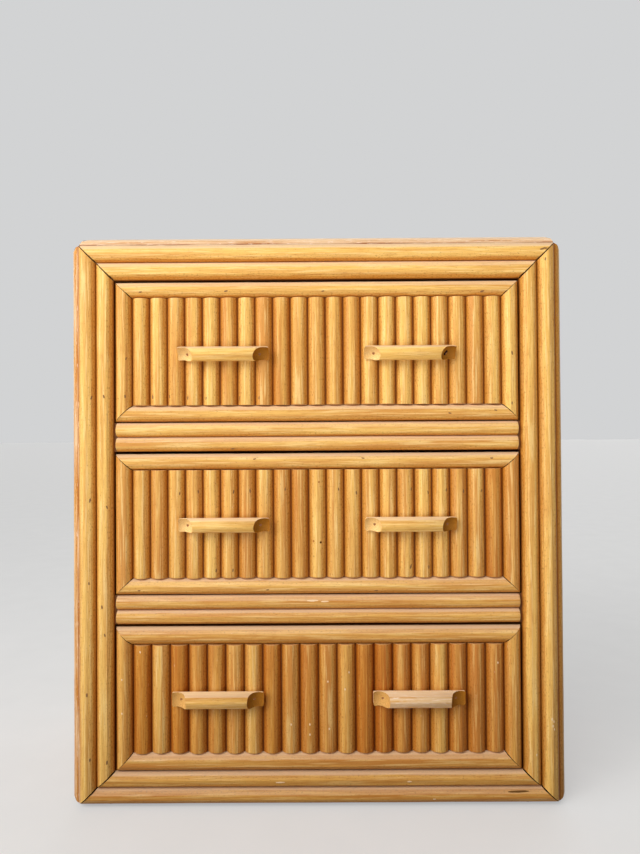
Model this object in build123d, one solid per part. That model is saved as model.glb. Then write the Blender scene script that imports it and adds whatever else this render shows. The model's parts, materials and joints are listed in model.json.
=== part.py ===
from build123d import *
import os

# A small chest of three drawers. A plywood case and its drawer fronts are faced with rattan poles
# sawn in half lengthwise, and with flatter split reeds between them.
# The front faces -Y, +Z is up, and the origin is under the middle of the whole chest.
# All driving dimensions are in millimetres.

# Split rattan
pole_width = 16.0
bottom_pole_width = 14.5   # of the two poles along the bottom of the face
saw_kerf = 1.0             # lost when a round pole is sawn into two halves
divider_pole_width = 13.0
drawer_upright_pole_width = 15.2
drawer_level_pole_width = 14.3
lower_drawer_level_pole_width = 15.7
mitre_play = 0.15          # each mitred end stands back this far along its pole
divider_pole_play = 1.4    # between a divider pole's cut end and the upright pole
reed_depth = 5.8           # a reed's crest above its flat
reed_gap = 0.2             # between neighbouring reeds
reed_end_gap = 0.3         # between a reed's cut end and the frame pole
upper_reed_count = 21
middle_reed_count = 21
lower_reed_count = 20
side_reed_count = 11
top_reed_count = 11

# Case
opening_width = 367.0
upper_opening_height = 129.2
middle_opening_height = 129.4
lower_opening_height = 131.4
case_depth = 212.0         # front of the face frame to the back
face_frame_thickness = 12.0
case_panel_thickness = 12.0
back_panel_thickness = 5.0

# Glides under the bottom edge
glide_diameter = 12.0
glide_foot_diameter = 9.6
glide_height = 2.6
glide_sides = 16           # enough to look round
glide_edge_inset = 26.8    # from the case's side to a glide's middle
glide_setback = 8.0        # from the face or the back to a glide's middle

# Drawer boxes and what carries them
drawer_side_gap = 1.4      # drawer front to stile
drawer_top_gap = 2.2       # drawer front to the rail above
drawer_bottom_gap = 0.8    # drawer front to the rail below
drawer_front_thickness = 12.0
drawer_side_thickness = 9.0
drawer_back_thickness = 9.0
drawer_bottom_thickness = 4.0
box_side_gap = 1.8         # drawer box to the edge of its opening
box_top_drop = 4.0         # drawer sides stop this far under the top of the opening
drawer_stop_gap = 0.5      # drawer box to the back panel, when shut
bottom_lift = 8.0          # underside of the drawer bottom above the lower edge of the sides
groove_depth = 5.0
groove_end_gap = 0.5       # drawer bottom's edge to the foot of its groove
runner_gap = 0.3           # drawer side above its runner
guide_gap = 0.6            # drawer side to its guide
guide_height = 18.0

# Pulls, scooped at both ends, and their nails
pull_length = 81.4
pull_diameter = 13.2
lower_pull_diameter = 14.4
pull_flat_cut = 1.0        # planed off the back of the round rod
scoop_radius = 10.0
scoop_floor = 3.2          # wood left behind the deepest part of a scoop
scoop_axis_inset = 2.6     # deepest part of a scoop, from the pull's end
pull_corner_radius = 3.0   # of the rounded ends, seen from the front
pull_edge_inset = 99.0     # from the drawer front's end to a pull's middle
lower_pull_edge_inset = 92.8
upper_pull_drop = 3.0      # the upper drawer's pulls sit this far under the middle of its front
lower_pull_lift = 2.4      # and the lower drawer's this far above it
nail_inset = 8.7           # from the pull's end
nail_width = 1.6           # of the square shank
nail_head_diameter = 3.0   # across its corners
nail_head_sides = 8
nail_head_thickness = 0.8
nail_grip_share = 0.75     # of the drawer front's thickness

cut_overrun = 5.0          # how far a cutting solid runs past what it cuts

# Sizes that follow
stile_width = 2 * pole_width
bottom_rail_height = 2 * bottom_pole_width
divider_height = 2 * divider_pole_width
case_width = opening_width + 2 * stile_width
case_height = (
    stile_width + bottom_rail_height + 2 * divider_height
    + upper_opening_height + middle_opening_height + lower_opening_height
)
drawer_front_width = opening_width - 2 * drawer_side_gap
reed_field_width = drawer_front_width - 2 * drawer_upright_pole_width
level_pole_widths = {
    "upper": drawer_level_pole_width,
    "middle": drawer_level_pole_width,
    "lower": lower_drawer_level_pole_width,
}
opening_heights = {
    "upper": upper_opening_height,
    "middle": middle_opening_height,
    "lower": lower_opening_height,
}
reed_counts = {"upper": upper_reed_count, "middle": middle_reed_count, "lower": lower_reed_count}
pull_diameters = {"upper": pull_diameter, "middle": pull_diameter, "lower": lower_pull_diameter}
pull_edge_insets = {"upper": pull_edge_inset, "middle": pull_edge_inset, "lower": lower_pull_edge_inset}
pull_drops = {"upper": upper_pull_drop, "middle": 0, "lower": -lower_pull_lift}
nail_grip = drawer_front_thickness * nail_grip_share
front_reach = reed_depth + max(pull_diameters.values()) - pull_flat_cut

# Planes of the case
face_y = front_reach - (front_reach + case_depth) / 2
frame_back_y = face_y + face_frame_thickness
back_y = face_y + case_depth
back_panel_y = back_y - back_panel_thickness
case_bottom_z = glide_height
case_top_z = case_bottom_z + case_height
case_middle_z = (case_bottom_z + case_top_z) / 2
case_middle_y = (face_y + back_y) / 2
case_edge_x = case_width / 2
panel_inner_x = case_edge_x - case_panel_thickness
opening_edge_x = opening_width / 2
lower_opening_z = case_bottom_z + bottom_rail_height
middle_opening_z = lower_opening_z + lower_opening_height + divider_height
upper_opening_z = middle_opening_z + middle_opening_height + divider_height
opening_bottoms = {"upper": upper_opening_z, "middle": middle_opening_z, "lower": lower_opening_z}
box_edge_x = opening_edge_x - box_side_gap
box_inner_x = box_edge_x - drawer_side_thickness
box_back_y = back_panel_y - drawer_stop_gap

nodes = {}


def board(x_range, y_range, z_range):
    """A straight board between two opposite corners."""
    spans = [high - low for low, high in (x_range, y_range, z_range)]
    corner = Pos(x_range[0], y_range[0], z_range[0])
    return corner * Box(*spans, align=(Align.MIN, Align.MIN, Align.MIN))


def mirrored(x_range, side):
    """The X range of a piece on the right, or its mirror image on the left."""
    return x_range if side == "right" else (-x_range[1], -x_range[0])


def split_rod(width, depth, length):
    """A split rod along Y, centred, with its flat on the XY plane and its crest towards +Z."""
    crest = ThreePointArc((-width / 2, 0), (0, depth), (width / 2, 0))
    flat = Line(crest @ 1, crest @ 0)
    return extrude(Plane.XZ * make_face([crest, flat]), length / 2, both=True)


def split_pole(width, length):
    """One half of a round pole, less its half of the saw's kerf."""
    return split_rod(width, (width - saw_kerf) / 2, length)


def mitred_frame(width, height, upright_width, top_width, bottom_width):
    """Four split poles round a panel that lies centred on the XY plane, mitred from corner to corner."""
    outer_x, outer_y = width / 2, height / 2
    inner_x = outer_x - upright_width
    upright_outline = Polygon(
        (inner_x, bottom_width + mitre_play - outer_y),
        (outer_x, mitre_play - outer_y),
        (outer_x, outer_y - mitre_play),
        (inner_x, outer_y - top_width - mitre_play),
        align=None,
    )
    upright = Pos(outer_x - upright_width / 2, 0, 0) * split_pole(upright_width, height)
    right = upright & extrude(upright_outline, upright_width)
    levels = []
    for level_width in (top_width, bottom_width):
        level_outline = Polygon(
            (mitre_play - inner_x, outer_y - level_width),
            (inner_x - mitre_play, outer_y - level_width),
            (outer_x - mitre_play, outer_y),
            (mitre_play - outer_x, outer_y),
            align=None,
        )
        level = Pos(0, outer_y - level_width / 2, 0) * Rot(0, 0, 90) * split_pole(level_width, width)
        levels.append(level & extrude(level_outline, level_width))
    top, bottom = levels
    return {"left": mirror(right, Plane.YZ), "right": right, "top": top, "bottom": Rot(0, 0, 180) * bottom}


def reed_row(field_width, field_height, count):
    """Upright reeds side by side on the XY plane, filling a centred field."""
    pitch = field_width / count
    reed = split_rod(pitch - reed_gap, reed_depth, field_height - 2 * reed_end_gap)
    first = (pitch - field_width) / 2
    return [Pos(first + pitch * number, 0, 0) * reed for number in range(count)]


def front_plane(middle_z):
    """Plane on the chest's face, with its normal to the front and its Y axis up."""
    return Plane(origin=(0, face_y, middle_z), x_dir=(1, 0, 0), z_dir=(0, -1, 0))


def add(name, *shapes):
    """Keep a named piece, or a group of alike pieces, as separate solids."""
    nodes[name] = [solid for shape in shapes for solid in shape.solids()]


# Plywood case
inside_y = (frame_back_y, back_panel_y)
case_z = (case_bottom_z, case_top_z)
inside_x = (-panel_inner_x, panel_inner_x)
for side in ("left", "right"):
    add(f"{side}_side_panel", board(mirrored((panel_inner_x, case_edge_x), side), inside_y, case_z))
add("top_panel", board(inside_x, inside_y, (case_top_z - case_panel_thickness, case_top_z)))
add("bottom_panel", board(inside_x, inside_y, (case_bottom_z, case_bottom_z + case_panel_thickness)))
add("back_panel", board((-case_edge_x, case_edge_x), (back_panel_y, back_y), case_z))

# Face frame
frame_y = (face_y, frame_back_y)
between_stiles = (-opening_edge_x, opening_edge_x)
for side in ("left", "right"):
    add(f"{side}_stile", board(mirrored((opening_edge_x, case_edge_x), side), frame_y, case_z))
add("top_rail", board(between_stiles, frame_y, (case_top_z - stile_width, case_top_z)))
add("bottom_rail", board(between_stiles, frame_y, (case_bottom_z, lower_opening_z)))
divider_tops = {"upper": upper_opening_z, "lower": middle_opening_z}
for place, divider_top in divider_tops.items():
    add(f"{place}_divider_rail", board(between_stiles, frame_y, (divider_top - divider_height, divider_top)))

# Runners under the drawer sides, guides beside them, and kickers that keep the upper drawer level
runner_foot = {
    "upper": upper_opening_z - divider_height,
    "middle": middle_opening_z - divider_height,
    "lower": case_bottom_z + case_panel_thickness,
}
runner_x = (box_inner_x, panel_inner_x)
guide_x = (box_edge_x + guide_gap, panel_inner_x)
kicker_z = (case_top_z - stile_width, case_top_z - case_panel_thickness)
runners, guides, kickers = [], [], []
for side in ("left", "right"):
    for place, bottom_z in opening_bottoms.items():
        runners.append(board(mirrored(runner_x, side), inside_y, (runner_foot[place], bottom_z)))
        guides.append(board(mirrored(guide_x, side), inside_y, (bottom_z, bottom_z + guide_height)))
    kickers.append(board(mirrored(runner_x, side), inside_y, kicker_z))
add("drawer_runners", *runners)
add("drawer_guides", *guides)
add("top_kickers", *kickers)

# Two nested mitred frames on the face
frame_spans = {
    "outer": (case_width, case_bottom_z, case_top_z),
    "inner": (case_width - 2 * pole_width, case_bottom_z + bottom_pole_width, case_top_z - pole_width),
}
for place, (width, low_z, high_z) in frame_spans.items():
    frame = mitred_frame(width, high_z - low_z, pole_width, pole_width, bottom_pole_width)
    for side, pole in frame.items():
        add(f"front_{side}_{place}_pole", front_plane((low_z + high_z) / 2) * pole)

# A pair of butt-ended poles on each rail between the drawers
divider_pole = Rot(0, 0, 90) * split_pole(divider_pole_width, opening_width - 2 * divider_pole_play)
divider_poles = []
for divider_top in divider_tops.values():
    middle = front_plane(divider_top - divider_height / 2)
    divider_poles.append(middle * Pos(0, divider_pole_width / 2, 0) * divider_pole)
    divider_poles.append(middle * Pos(0, -divider_pole_width / 2, 0) * divider_pole)
add("divider_poles", *divider_poles)

# Sides and top: a mitred frame with reeds inside it
left_middle = (-case_edge_x, case_middle_y, case_middle_z)
right_middle = (case_edge_x, case_middle_y, case_middle_z)
top_middle = (0, case_middle_y, case_top_z)
faces = {
    "left_side": (Plane(left_middle, x_dir=(0, -1, 0), z_dir=(-1, 0, 0)), case_height, side_reed_count),
    "right_side": (Plane(right_middle, x_dir=(0, 1, 0), z_dir=(1, 0, 0)), case_height, side_reed_count),
    "top": (Plane(top_middle, x_dir=(0, 1, 0), z_dir=(0, 0, 1)), case_width, top_reed_count),
}
for face, (plane, length, count) in faces.items():
    frame = mitred_frame(case_depth, length, pole_width, pole_width, pole_width)
    reeds = reed_row(case_depth - 2 * pole_width, length - 2 * pole_width, count)
    add(f"{face}_frame_poles", *[plane * pole for pole in frame.values()])
    add(f"{face}_reeds", *[plane * reed for reed in reeds])

# Four glides
glide_foot = RegularPolygon(glide_foot_diameter / 2, glide_sides)
glide_top = Pos(0, 0, glide_height) * RegularPolygon(glide_diameter / 2, glide_sides)
glide = loft([glide_foot, glide_top], ruled=True)
glide_x = case_edge_x - glide_edge_inset
glide_rows = (face_y + glide_setback, back_y - glide_setback)
add("glides", *[Pos(x, y, 0) * glide for x in (-glide_x, glide_x) for y in glide_rows])


nail_head_outline = RegularPolygon(nail_head_diameter / 2, nail_head_sides)


def scooped_pull(diameter):
    """A flat-backed rod along X, its flat on the XY plane, with a scoop and a nail seat at each end."""
    depth = diameter - pull_flat_cut
    rod_face = Plane.YZ * Pos(0, depth - diameter / 2) * Circle(diameter / 2)
    rod = extrude(rod_face, pull_length / 2, both=True)
    outline = extrude(RectangleRounded(pull_length, diameter, pull_corner_radius), depth)
    pull = rod & outline
    scoop_middle = Pos(0, scoop_floor + scoop_radius)
    scoop_shape = scoop_middle * Circle(scoop_radius)
    scoop_shape += scoop_middle * Rectangle(2 * scoop_radius, depth, align=(Align.CENTER, Align.MIN))
    scoop = extrude(Plane.XZ * scoop_shape, diameter, both=True)
    seat = extrude(nail_head_outline, depth)
    hole = Box(nail_width, nail_width, 2 * depth)
    for end in (-1, 1):
        pull -= Pos(end * (pull_length / 2 - scoop_axis_inset), 0, 0) * scoop
        nail_x = end * (pull_length / 2 - nail_inset)
        pull -= Pos(nail_x, 0, scoop_floor - nail_head_thickness) * seat
        pull -= Pos(nail_x, 0, 0) * hole
    return pull


def pull_nail():
    """A blunt, square-shanked nail along Z: through the pull's back at zero, a reed, and into the front."""
    seat_z = scoop_floor - nail_head_thickness
    shank_length = seat_z + reed_depth + nail_grip
    shank = Box(nail_width, nail_width, shank_length, align=(Align.CENTER, Align.CENTER, Align.MAX))
    head = extrude(nail_head_outline, nail_head_thickness)
    return Pos(0, 0, seat_z) * (shank + head)


def make_drawer(place):
    """One drawer: a nailed box with a board front, its rattan facing and its two pulls."""
    opening_z = opening_bottoms[place]
    opening_height = opening_heights[place]
    front_z = (opening_z + drawer_bottom_gap, opening_z + opening_height - drawer_top_gap)
    front_height = front_z[1] - front_z[0]
    front = front_plane((front_z[0] + front_z[1]) / 2)
    level_pole_width = level_pole_widths[place]
    reed_field_height = front_height - 2 * level_pole_width
    spread = drawer_front_width / 2 - pull_edge_insets[place]
    pull_row = front * Pos(0, -pull_drops[place], 0)

    side_z = (opening_z + runner_gap, opening_z + opening_height - box_top_drop)
    bottom_z = (side_z[0] + bottom_lift, side_z[0] + bottom_lift + drawer_bottom_thickness)
    front_back_y = face_y + drawer_front_thickness
    groove_x = box_inner_x + groove_depth
    groove_front_y = front_back_y - groove_depth
    groove = board((-groove_x, groove_x), (groove_front_y, box_back_y + cut_overrun), bottom_z)

    nail_run = pull_length / 2 - nail_inset
    nail_places = [pull_x + run for pull_x in (-spread, spread) for run in (-nail_run, nail_run)]
    hole_length = reed_depth + nail_grip + cut_overrun
    hole = Box(nail_width, nail_width, hole_length, align=(Align.CENTER, Align.CENTER, Align.MIN))
    nail_holes = [pull_row * Pos(x, 0, -nail_grip) * hole for x in nail_places]

    front_x = (-drawer_front_width / 2, drawer_front_width / 2)
    front_board = board(front_x, (face_y, front_back_y), front_z) - groove
    for nail_hole in nail_holes:
        front_board -= nail_hole
    add(f"{place}_drawer_front", front_board)
    for side in ("left", "right"):
        side_board = board(mirrored((box_inner_x, box_edge_x), side), (front_back_y, box_back_y), side_z)
        add(f"{place}_drawer_{side}_side", side_board - groove)
    back_y_range = (box_back_y - drawer_back_thickness, box_back_y)
    add(f"{place}_drawer_back", board((-box_inner_x, box_inner_x), back_y_range, (bottom_z[1], side_z[1])))
    bottom_x = groove_x - groove_end_gap
    bottom_y = (groove_front_y + groove_end_gap, box_back_y)
    add(f"{place}_drawer_bottom", board((-bottom_x, bottom_x), bottom_y, bottom_z))

    frame = mitred_frame(
        drawer_front_width, front_height, drawer_upright_pole_width, level_pole_width, level_pole_width
    )
    add(f"{place}_drawer_frame_poles", *[front * pole for pole in frame.values()])
    reeds = []
    for reed in reed_row(reed_field_width, reed_field_height, reed_counts[place]):
        placed_reed = front * reed
        span = placed_reed.bounding_box()
        for x, nail_hole in zip(nail_places, nail_holes):
            if span.min.X - nail_width < x < span.max.X + nail_width:
                placed_reed -= nail_hole
        reeds.append(placed_reed)
    add(f"{place}_drawer_reeds", *reeds)

    reed_crests = pull_row * Pos(0, 0, reed_depth)
    pull = scooped_pull(pull_diameters[place])
    add(f"{place}_drawer_left_pull", reed_crests * Pos(-spread, 0, 0) * pull)
    add(f"{place}_drawer_right_pull", reed_crests * Pos(spread, 0, 0) * pull)
    nail = pull_nail()
    add(f"{place}_drawer_pull_nails", *[reed_crests * Pos(x, 0, 0) * nail for x in nail_places])


for place in opening_bottoms:
    make_drawer(place)

os.makedirs("parts", exist_ok=True)
for name, solids in nodes.items():
    export_step(solids[0] if len(solids) == 1 else Compound(children=solids), f"parts/{name}.step")

whole = Compound([solid for solids in nodes.values() for solid in solids]).bounding_box()
print(f"{len(nodes)} nodes, {sum(len(solids) for solids in nodes.values())} solids")
print(f"overall {whole.size.X:.1f} wide, {whole.size.Y:.1f} deep, {whole.size.Z:.1f} high")
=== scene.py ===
# %% [markdown]
# # A small chest of drawers faced in split rattan
# The chest is a plywood box, and everything the eye meets on it is rattan: long poles sawn in half and
# mitred into frames, short reeds set side by side on the drawers, and rods scooped at their ends as pulls.
# The construction is already packed as a frame of solids. This lesson gives it its looks, piece by piece.
# Every piece is modelled where the frame says it is, so nothing has to be moved afterwards.

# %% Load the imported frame
import json
import math
import random
from collections import namedtuple

import bmesh
import bpy
from mathutils import Matrix, Vector, noise


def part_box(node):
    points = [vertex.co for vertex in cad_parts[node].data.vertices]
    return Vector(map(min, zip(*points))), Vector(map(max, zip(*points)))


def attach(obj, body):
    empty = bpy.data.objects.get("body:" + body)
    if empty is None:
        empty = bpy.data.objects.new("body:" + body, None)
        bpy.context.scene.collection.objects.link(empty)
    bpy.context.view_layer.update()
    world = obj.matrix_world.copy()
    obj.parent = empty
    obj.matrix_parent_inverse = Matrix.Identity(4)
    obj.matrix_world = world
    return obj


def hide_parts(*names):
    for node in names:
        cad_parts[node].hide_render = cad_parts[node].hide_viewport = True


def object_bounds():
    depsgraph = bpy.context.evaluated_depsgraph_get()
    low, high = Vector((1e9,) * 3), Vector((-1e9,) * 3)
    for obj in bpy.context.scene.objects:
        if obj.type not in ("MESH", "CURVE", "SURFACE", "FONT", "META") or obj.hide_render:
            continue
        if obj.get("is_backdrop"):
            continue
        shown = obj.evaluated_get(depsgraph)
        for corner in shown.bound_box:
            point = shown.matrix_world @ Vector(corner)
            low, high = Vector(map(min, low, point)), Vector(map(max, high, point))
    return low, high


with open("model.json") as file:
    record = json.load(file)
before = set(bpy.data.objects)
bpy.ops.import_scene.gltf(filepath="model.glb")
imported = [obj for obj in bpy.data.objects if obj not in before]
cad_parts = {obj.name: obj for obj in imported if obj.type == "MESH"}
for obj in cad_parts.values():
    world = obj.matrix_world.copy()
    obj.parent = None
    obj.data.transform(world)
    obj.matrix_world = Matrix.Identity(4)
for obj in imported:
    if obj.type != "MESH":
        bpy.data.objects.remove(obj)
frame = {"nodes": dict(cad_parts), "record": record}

MM = 0.001
scene = bpy.context.scene
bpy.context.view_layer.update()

# %% [markdown]
# ## Camera
# The photograph was taken by hand from the front, a little above the middle drawer. A camera can be set by
# eye, but the grooves between the poles are straight and their sizes are known, so its place, turn and
# focal length were fitted to them. The long side of the picture sets the sensor, as in Blender's own
# fitting.

# %% Camera
PHOTO_HEIGHT = 854         # pixels
FOCAL_LENGTH = 641         # pixels
CAMERA_PLACE = Vector((3.9, -676.5, 333.4)) * MM
CAMERA_PITCH = math.radians(0.627)
CAMERA_YAW = math.radians(-0.121)
CAMERA_ROLL = math.radians(-0.349)

camera_data = bpy.data.cameras.new("camera")
camera_data.lens = FOCAL_LENGTH * camera_data.sensor_width / PHOTO_HEIGHT
camera = bpy.data.objects.new("camera", camera_data)
camera.location = CAMERA_PLACE
camera.rotation_euler = (math.pi / 2 + CAMERA_PITCH, 0, -CAMERA_YAW)
camera.rotation_euler.rotate_axis("Z", CAMERA_ROLL)
scene.collection.objects.link(camera)
scene.camera = camera
print("camera:", round(camera_data.lens, 2), "mm lens")

# %% [markdown]
# ## Colours and nodes
# Colours are written as they look on a screen, as sRGB hex values, and Blender's shaders want them linear.
# One function turns them. A second one adds a shader node, sets its options and links what feeds it, and a
# third lays tints over a colour one after another, so a material below reads as a list of steps.

# %% Colour and node helpers


def linear(hex_colour):
    """An sRGB hex colour as the linear RGBA that shaders take."""
    channels = [int(hex_colour[start:start + 2], 16) / 255 for start in (1, 3, 5)]
    return [c / 12.92 if c <= 0.04045 else ((c + 0.055) / 1.055) ** 2.4 for c in channels] + [1.0]


def add_node(tree, kind, inputs, **options):
    """Adds a node with its options. Each input is a value, or the socket that feeds it."""
    node = tree.nodes.new(kind)
    for name, value in options.items():
        setattr(node, name, value)
    for name, value in inputs.items():
        if isinstance(value, bpy.types.NodeSocket):
            tree.links.new(value, node.inputs[name])
        else:
            node.inputs[name].default_value = value
    return node


def new_material(name, **constants):
    """A material with its Principled shader, whose unchanging sockets are set straight away."""
    material = bpy.data.materials.new(name)
    material.use_nodes = True
    shader = material.node_tree.nodes["Principled BSDF"]
    for socket, value in constants.items():
        shader.inputs[socket.replace("_", " ")].default_value = value
    return material, material.node_tree, shader


def tinted(tree, colour, steps, interpolation="LINEAR"):
    """Lays tints over a colour. A step: its driver, where that starts and ends, strength, blend and tint."""
    for driver, start, end, strength, blend, tint in steps:
        amount = add_node(
            tree, "ShaderNodeMapRange",
            {"Value": driver, "From Min": start, "From Max": end, "To Min": 0.0, "To Max": strength},
            interpolation_type=interpolation,
        )
        colour = add_node(
            tree, "ShaderNodeMix", {0: amount.outputs[0], 6: colour, 7: linear(tint)},
            data_type="RGBA", blend_type=blend,
        ).outputs[2]
    return colour


print("honey in linear light:", [round(channel, 3) for channel in linear("#F4C67F")[:3]])

# %% [markdown]
# ## Light
# The real chest stood in open shade, lit from in front and above, and a little from its left. One soft
# panel at that place does the same. It stands close, so the upper drawer gets more of its light than the
# lower one, as in the photograph. Some light came up from below, under its poles, so a weak panel lies in
# front, and a wide, weak lamp on the left rounds the reeds. Another behind the chest lights its back for
# the other views, and the world fills the shadows.

# %% Lamps
# Place, aim, size in metres and power in watts. Together they make a colour render about as it is written.
PANELS = {
    "sky_panel": (Vector((-0.62, -1.05, 1.12)), Vector((0, -0.05, 0.35)), (1.0, 0.8), 14.0),
    "low_panel": (Vector((-0.2, -1.15, 0.01)), Vector((-0.2, -1.15, 1)), (1.6, 1.0), 13.0),
}
# Height over the floor, turn from the front towards the left and width, in degrees, and strength
WIDE_LAMPS = {"left_lamp": (20, 66, 45, 0.44 * math.pi), "back_lamp": (28, 200, 70, 0.3 * math.pi)}


def add_lamp(name, kind, **settings):
    """A lamp with its settings, linked to the scene."""
    lamp_data = bpy.data.lights.new(name, kind)
    for setting, value in settings.items():
        setattr(lamp_data, setting, value)
    lamp = bpy.data.objects.new(name, lamp_data)
    scene.collection.objects.link(lamp)
    return lamp


for name, (place, aim, (width, height), power) in PANELS.items():
    panel = add_lamp(name, "AREA", shape="RECTANGLE", size=width, size_y=height, energy=power)
    panel.location = place
    panel.rotation_euler = (aim - place).to_track_quat("-Z", "Y").to_euler()
    panel.visible_camera = False
for name, (height, turn, width, strength) in WIDE_LAMPS.items():
    lamp = add_lamp(name, "SUN", angle=math.radians(width), energy=strength)
    lamp.rotation_euler = (math.radians(90 - height), 0, -math.radians(turn))
scene.view_settings.view_transform = "Standard"
print("light:", len(PANELS), "soft panels and", len(WIDE_LAMPS), "weak wide lamps")

# %% [markdown]
# ## Backdrop and floor
# The backdrop is the world itself. What the camera sees of it, straight on or in a reflection, is paler
# than the light it gives, so a pale picture doesn't wash out the chest. The floor does the same: it looks
# pale all over, but close to the chest it throws back as little light as a grey one. So the poles near the
# floor stay dark below, while the upper ones get light from the floor in front.

# %% Backdrop and floor
FILL_STRENGTH = 0.15
BACKDROP_STRENGTH = 0.7
FLOOR_GLOW = 0.42
FLOOR_SIZE = 60
FLOOR_MOTTLE = 60 * MM
DULL_REACH, PALE_REACH = 0.35, 0.8     # metres from the middle of the chest


def seen_directly(tree):
    """One for camera, mirror and glass rays, and zero for the rays that carry light."""
    rays = add_node(tree, "ShaderNodeLightPath", {}).outputs
    shown = rays["Is Camera Ray"]
    for ray in ("Is Glossy Ray", "Is Transmission Ray"):
        shown = add_node(tree, "ShaderNodeMath", {0: shown, 1: rays[ray]}, operation="MAXIMUM").outputs[0]
    return shown


world = bpy.data.worlds.new("soft_fill")
world.use_nodes = True
scene.world = world
seen = add_node(
    world.node_tree, "ShaderNodeMath",
    {0: seen_directly(world.node_tree), 1: BACKDROP_STRENGTH - FILL_STRENGTH, 2: FILL_STRENGTH},
    operation="MULTIPLY_ADD",
)
background = world.node_tree.nodes["Background"]
background.inputs["Color"].default_value = linear("#F6F7F8")
world.node_tree.links.new(seen.outputs[0], background.inputs["Strength"])

# Matt paint: even and without shine, so nothing there draws the eye
floor_paint, tree, shader = new_material("matt_painted_floor", Roughness=0.75)
place = add_node(tree, "ShaderNodeTexCoord", {}).outputs["Object"]
mottle = add_node(tree, "ShaderNodeTexNoise", {"Vector": place, "Scale": 1 / FLOOR_MOTTLE, "Detail": 4.0})
away = add_node(tree, "ShaderNodeVectorMath", {0: place}, operation="LENGTH")
pale_step = (mottle.outputs["Fac"], 0.0, 1.0, 1.0, "MIX", "#B0AEAB")
thrown_step = (away.outputs["Value"], DULL_REACH, PALE_REACH, 1.0, "MIX", "#E6E4E1")
pale = tinted(tree, linear("#A6A4A1"), [pale_step])
thrown = tinted(tree, linear("#85827E"), [thrown_step], "SMOOTHSTEP")
tint = add_node(tree, "ShaderNodeMix", {0: seen_directly(tree), 6: thrown, 7: pale}, data_type="RGBA")
tree.links.new(tint.outputs[2], shader.inputs["Base Color"])
shader.inputs["Emission Color"].default_value = linear("#F6F7F8")
glow = add_node(tree, "ShaderNodeMath", {0: seen_directly(tree), 1: FLOOR_GLOW}, operation="MULTIPLY")
tree.links.new(glow.outputs[0], shader.inputs["Emission Strength"])
floor_shape = bmesh.new()
bmesh.ops.create_grid(floor_shape, x_segments=1, y_segments=1, size=FLOOR_SIZE / 2)
floor_mesh = bpy.data.meshes.new("floor")
floor_shape.to_mesh(floor_mesh)
floor_shape.free()
floor_mesh.materials.append(floor_paint)
floor = bpy.data.objects.new("floor", floor_mesh)
scene.collection.objects.link(floor)
floor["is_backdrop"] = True
print("backdrop strength", BACKDROP_STRENGTH, "and fill strength", FILL_STRENGTH)

# %% [markdown]
# ## Split rattan, shaved and lacquered
# Rattan is a climbing palm. Its stem has no rings: it is a bundle of long fibres with small pores between
# them, so the surface shows fine streaks along its length and here and there a dark fleck. Shaving bares a
# pale crest and leaves the flanks brown, and their very edges are darker still, as dirt and painted shade
# in the grooves. What faces up is painted paler, as painted light and reflection from above, and a satin
# lacquer gives soft highlights. An image could carry all that, but noise stretched along the grain does it
# at any distance. The grain runs along every pole, up on one and across on the next, so the patterns read a
# UV map, called grain, which holds real distances along and around each pole. Four attributes say how a pole
# differs from its neighbours: flank (zero on the crest, one at its edges), tone (pale or tan), age (amber
# brown, higher towards the floor, where it is partly painted shade) and wear (rubbed and chipped to bare
# wood, and on the frames of the left side and the top partly painted light).

# %% Split rattan
# Length along the grain and width across it, in millimetres. Real fibres are near 0.3 mm wide, too fine to
# show at this distance, so they are drawn about twice as coarse.
RATTAN_PATTERNS = {
    "band": (150, 5.0),
    "streak": (55, 1.8),
    "fibre": (14, 0.7),
    "fleck": (2.4, 0.8),
    "nick": (9, 0.9),
}


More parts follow.
